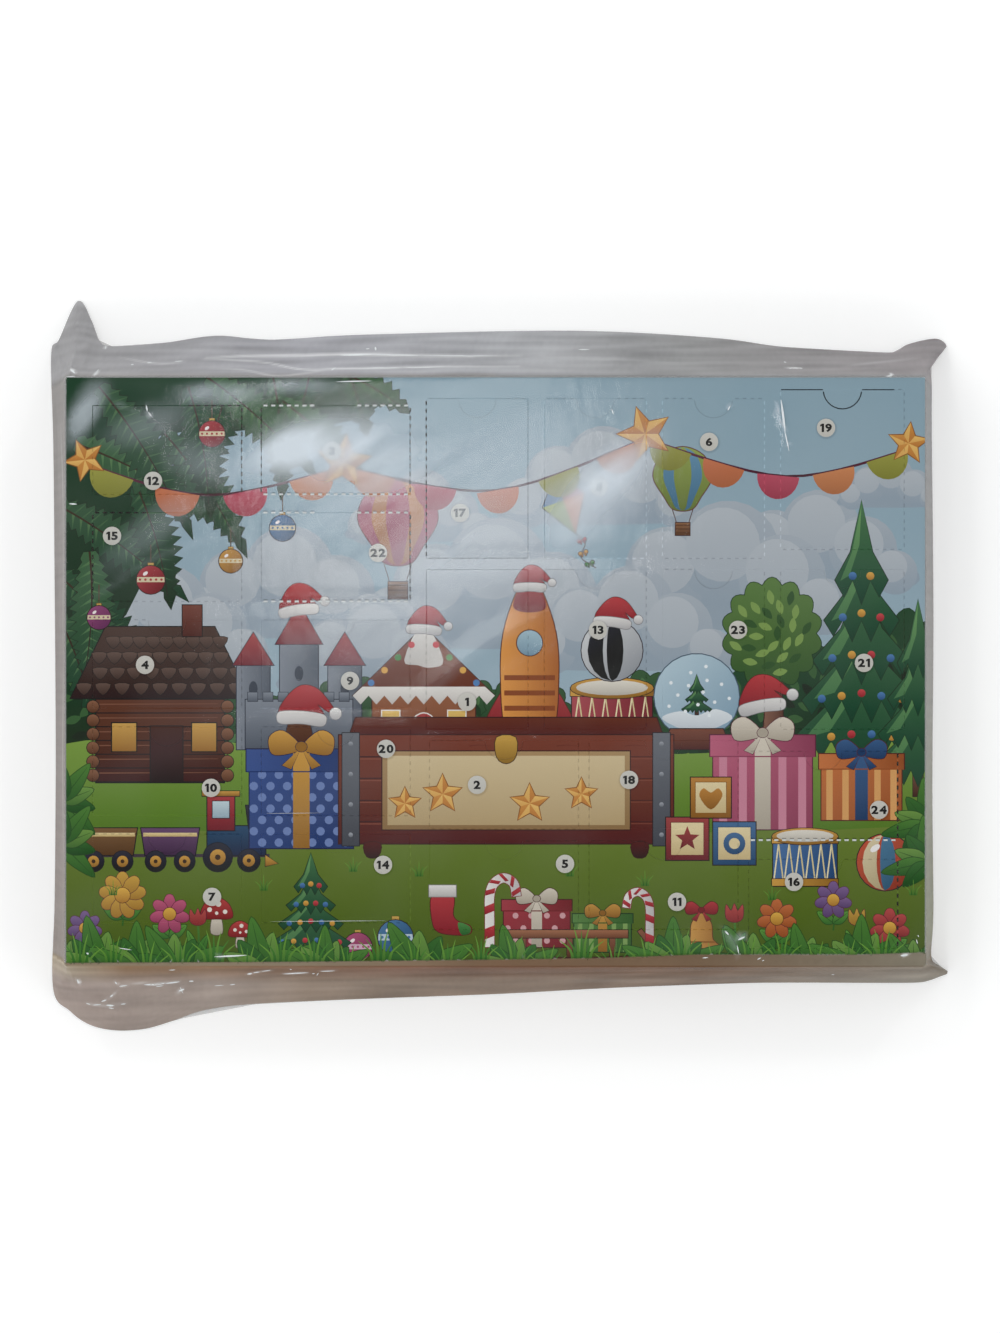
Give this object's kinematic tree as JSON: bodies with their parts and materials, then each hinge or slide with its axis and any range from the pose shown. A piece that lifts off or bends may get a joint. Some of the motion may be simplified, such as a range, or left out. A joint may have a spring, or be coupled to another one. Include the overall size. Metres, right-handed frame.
{
  "type": "toy advent calendar",
  "caption": "Flat printed carton with numbered hinged doors over a moulded tray of small toys, sealed in a clear film bag.",
  "frame": {"origin": "centre of the carton's back, on the surface that the calendar lies on", "axes": "+Z out of the doors, +X along the carton's width, +Y towards the top of the picture"},
  "size_m": [0.3948, 0.3217, 0.0368],
  "materials": {
    "printed_board": "printed, satin",
    "grey_board": "bare, matte",
    "tray_plastic": "thin moulded sheet",
    "clear_film": "clear, wrinkled",
    "toy_plastic_0": "satin",
    "toy_plastic_1": "satin",
    "toy_plastic_2": "satin",
    "toy_plastic_3": "satin"
  },
  "bodies": {
    "calendar": {"carton_tub": "printed_board", "front_panel": "printed_board", "left_end_flap": "printed_board", "right_end_flap": "printed_board", "left_upper_dust_flap": "grey_board", "left_lower_dust_flap": "grey_board", "right_upper_dust_flap": "grey_board", "right_lower_dust_flap": "grey_board", "toy_tray": "tray_plastic", "toy_01_skittle": "toy_plastic_1", "toy_02_train": "toy_plastic_2", "toy_03_fish": "toy_plastic_3", "toy_04_spinning_top": "toy_plastic_0", "toy_05_car": "toy_plastic_1", "toy_06_rocket": "toy_plastic_2", "toy_07_ball": "toy_plastic_3", "toy_08_tree": "toy_plastic_0", "toy_09_boat": "toy_plastic_1", "toy_10_bell": "toy_plastic_2", "toy_11_drum": "toy_plastic_3", "toy_12_star": "toy_plastic_0", "toy_13_nesting_doll": "toy_plastic_1", "toy_14_flower": "toy_plastic_2", "toy_15_yo_yo": "toy_plastic_3", "toy_16_gift": "toy_plastic_0", "toy_17_house": "toy_plastic_1", "toy_18_moon": "toy_plastic_2", "toy_19_castle": "toy_plastic_3", "toy_20_rattle": "toy_plastic_0", "toy_21_snowman": "toy_plastic_1", "toy_22_mushroom": "toy_plastic_2", "toy_23_candle": "toy_plastic_3", "toy_24_sleigh": "toy_plastic_0", "film_back": "clear_film", "film_front": "clear_film"},
    "door_01": {"door_01": "printed_board"},
    "door_02": {"door_02": "printed_board"},
    "door_03": {"door_03": "printed_board"},
    "door_04": {"door_04": "printed_board"},
    "door_05": {"door_05": "printed_board"},
    "door_06": {"door_06": "printed_board"},
    "door_07": {"door_07": "printed_board"},
    "door_08": {"door_08": "printed_board"},
    "door_09": {"door_09": "printed_board"},
    "door_10": {"door_10": "printed_board"},
    "door_11": {"door_11": "printed_board"},
    "door_12": {"door_12": "printed_board"},
    "door_13": {"door_13": "printed_board"},
    "door_14": {"door_14": "printed_board"},
    "door_15": {"door_15": "printed_board"},
    "door_16": {"door_16": "printed_board"},
    "door_17": {"door_17": "printed_board"},
    "door_18": {"door_18": "printed_board"},
    "door_19": {"door_19": "printed_board"},
    "door_20": {"door_20": "printed_board"},
    "door_21": {"door_21": "printed_board"},
    "door_22": {"door_22": "printed_board"},
    "door_23": {"door_23": "printed_board"},
    "door_24": {"door_24": "printed_board"}
  },
  "joints": [
    {"name": "door_01_hinge", "type": "hinge", "parent": "calendar", "child": "door_01", "pos_m": [-0.0078, -0.02445, 0.0364], "axis": [1, 0, 0], "range_deg": [0, 135], "deforming": ["film_front"]},
    {"name": "door_02_hinge", "type": "hinge", "parent": "calendar", "child": "door_02", "pos_m": [0.0036, -0.06685, 0.0364], "axis": [1, 0, 0], "range_deg": [0, 135], "deforming": ["film_front"]},
    {"name": "door_03_hinge", "type": "hinge", "parent": "calendar", "child": "door_03", "pos_m": [-0.0679, 0.07535, 0.0364], "axis": [1, 0, 0], "range_deg": [0, 135], "deforming": ["film_front"]},
    {"name": "door_04_hinge", "type": "hinge", "parent": "calendar", "child": "door_04", "pos_m": [-0.1395, -0.01565, 0.0364], "axis": [1, 0, 0], "range_deg": [0, 135], "deforming": ["film_front"]},
    {"name": "door_05_hinge", "type": "hinge", "parent": "calendar", "child": "door_05", "pos_m": [0.0036, -0.10955, 0.0364], "axis": [1, 0, 0], "range_deg": [0, 135], "deforming": ["film_front"]},
    {"name": "door_06_hinge", "type": "hinge", "parent": "calendar", "child": "door_06", "pos_m": [0.0926, 0.04815, 0.0364], "axis": [1, 0, 0], "range_deg": [0, 135], "deforming": ["film_front"]},
    {"name": "door_07_hinge", "type": "hinge", "parent": "calendar", "child": "door_07", "pos_m": [-0.1395, -0.10665, 0.0364], "axis": [1, 0, 0], "range_deg": [0, 135], "deforming": ["film_front"]},
    {"name": "door_08_hinge", "type": "hinge", "parent": "calendar", "child": "door_08", "pos_m": [0.0424, 0.04815, 0.0364], "axis": [1, 0, 0], "range_deg": [0, 135], "deforming": ["film_front"]},
    {"name": "door_09_hinge", "type": "hinge", "parent": "calendar", "child": "door_09", "pos_m": [-0.0679, -0.01565, 0.0364], "axis": [1, 0, 0], "range_deg": [0, 135], "deforming": ["film_front"]},
    {"name": "door_10_hinge", "type": "hinge", "parent": "calendar", "child": "door_10", "pos_m": [-0.1395, -0.06115, 0.0364], "axis": [1, 0, 0], "range_deg": [0, 135], "deforming": ["film_front"]},
    {"name": "door_11_hinge", "type": "hinge", "parent": "calendar", "child": "door_11", "pos_m": [0.0714, -0.10955, 0.0364], "axis": [1, 0, 0], "range_deg": [0, 135], "deforming": ["film_front"]},
    {"name": "door_12_hinge", "type": "hinge", "parent": "calendar", "child": "door_12", "pos_m": [-0.1395, 0.07535, 0.0364], "axis": [1, 0, 0], "range_deg": [0, 135], "deforming": ["film_front"]},
    {"name": "door_13_hinge", "type": "hinge", "parent": "calendar", "child": "door_13", "pos_m": [0.0424, -0.02445, 0.0364], "axis": [1, 0, 0], "range_deg": [0, 135], "deforming": ["film_front"]},
    {"name": "door_14_hinge", "type": "hinge", "parent": "calendar", "child": "door_14", "pos_m": [-0.0679, -0.10665, 0.0364], "axis": [1, 0, 0], "range_deg": [0, 135], "deforming": ["film_front"]},
    {"name": "door_15_hinge", "type": "hinge", "parent": "calendar", "child": "door_15", "pos_m": [-0.1395, 0.02985, 0.0364], "axis": [1, 0, 0], "range_deg": [0, 135], "deforming": ["film_front"]},
    {"name": "door_16_hinge", "type": "hinge", "parent": "calendar", "child": "door_16", "pos_m": [0.1392, -0.11745, 0.0364], "axis": [1, 0, 0], "range_deg": [0, 135], "deforming": ["film_front"]},
    {"name": "door_17_hinge", "type": "hinge", "parent": "calendar", "child": "door_17", "pos_m": [-0.0078, 0.04815, 0.0364], "axis": [1, 0, 0], "range_deg": [0, 135], "deforming": ["film_front"]},
    {"name": "door_18_hinge", "type": "hinge", "parent": "calendar", "child": "door_18", "pos_m": [0.0714, -0.06685, 0.0364], "axis": [1, 0, 0], "range_deg": [0, 135], "deforming": ["film_front"]},
    {"name": "door_19_hinge", "type": "hinge", "parent": "calendar", "child": "door_19", "pos_m": [0.1474, 0.05195, 0.0364], "axis": [1, 0, 0], "range_deg": [0, 135], "deforming": ["film_front"]},
    {"name": "door_20_hinge", "type": "hinge", "parent": "calendar", "child": "door_20", "pos_m": [-0.0679, -0.06115, 0.0364], "axis": [1, 0, 0], "range_deg": [0, 135], "deforming": ["film_front"]},
    {"name": "door_21_hinge", "type": "hinge", "parent": "calendar", "child": "door_21", "pos_m": [0.1474, -0.02445, 0.0364], "axis": [1, 0, 0], "range_deg": [0, 135], "deforming": ["film_front"]},
    {"name": "door_22_hinge", "type": "hinge", "parent": "calendar", "child": "door_22", "pos_m": [-0.0679, 0.02985, 0.0364], "axis": [1, 0, 0], "range_deg": [0, 135], "deforming": ["film_front"]},
    {"name": "door_23_hinge", "type": "hinge", "parent": "calendar", "child": "door_23", "pos_m": [0.0926, -0.02445, 0.0364], "axis": [1, 0, 0], "range_deg": [0, 135], "deforming": ["film_front"]},
    {"name": "door_24_hinge", "type": "hinge", "parent": "calendar", "child": "door_24", "pos_m": [0.1392, -0.07155, 0.0364], "axis": [1, 0, 0], "range_deg": [0, 135], "deforming": ["film_front"]}
  ]
}
